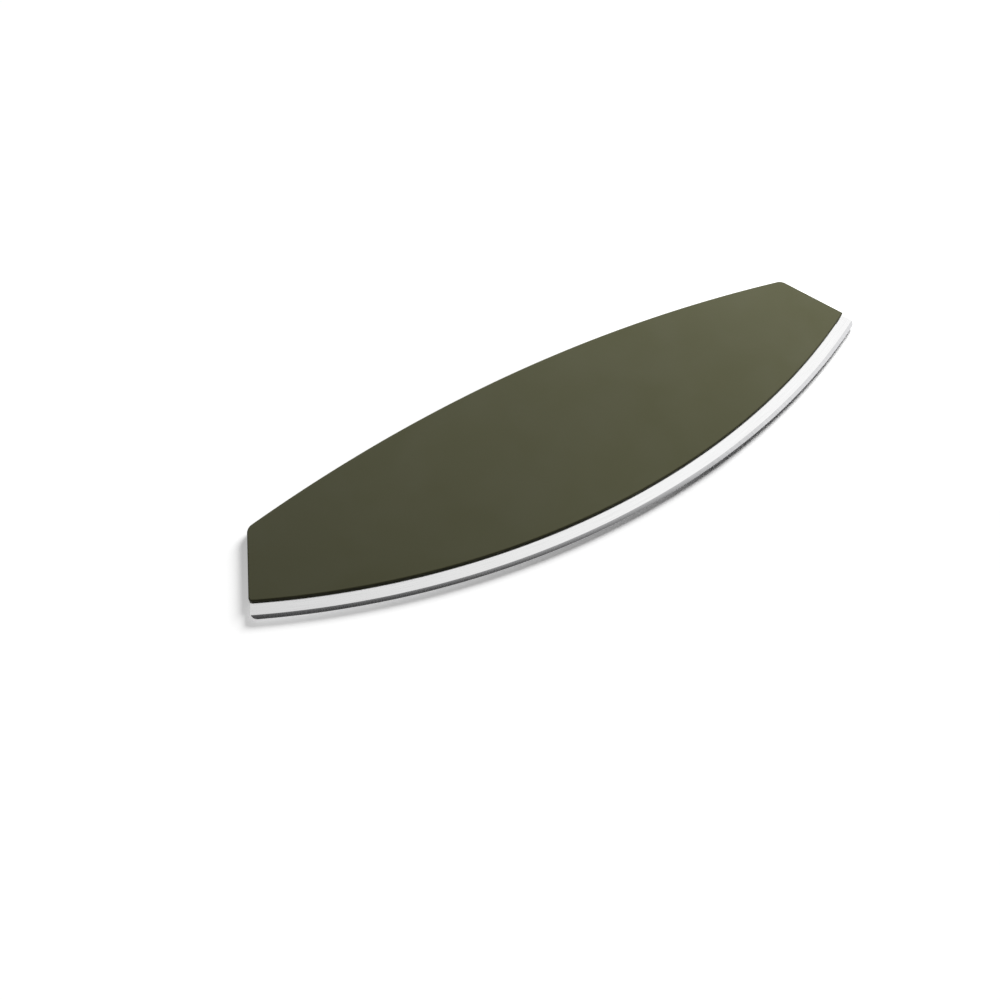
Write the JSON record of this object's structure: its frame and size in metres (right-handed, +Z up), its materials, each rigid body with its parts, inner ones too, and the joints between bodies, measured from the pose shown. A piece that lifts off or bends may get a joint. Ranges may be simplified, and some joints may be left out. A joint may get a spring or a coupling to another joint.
{
  "type": "mezzaluna",
  "caption": "Rocking mezzaluna: one long curved steel blade held between two thin olive plastic handle scales with slanted ends, for chopping herbs or slicing pizza by rocking.",
  "frame": {"origin": "under the middle of the whole object's box, on the rear face that it lies on", "axes": "+X along the blade, +Y from the cutting edge towards the spine, +Z up through the thickness, out of the front face"},
  "size_m": [0.369, 0.105, 0.005],
  "materials": {
    "handle_plastic": "fine satin moulded olive green plastic",
    "blade_steel": "fine polished stainless steel with a ground bevel",
    "dowel_steel": "plain drawn stainless steel"
  },
  "bodies": {
    "root": {"blade": "blade_steel", "front_scale": "handle_plastic", "rear_scale": "handle_plastic", "lower_pin_1": "dowel_steel", "lower_pin_2": "dowel_steel", "lower_pin_3": "dowel_steel", "lower_pin_4": "dowel_steel", "lower_pin_5": "dowel_steel", "upper_pin_1": "dowel_steel", "upper_pin_2": "dowel_steel", "upper_pin_3": "dowel_steel", "upper_pin_4": "dowel_steel"}
  },
  "joints": []
}
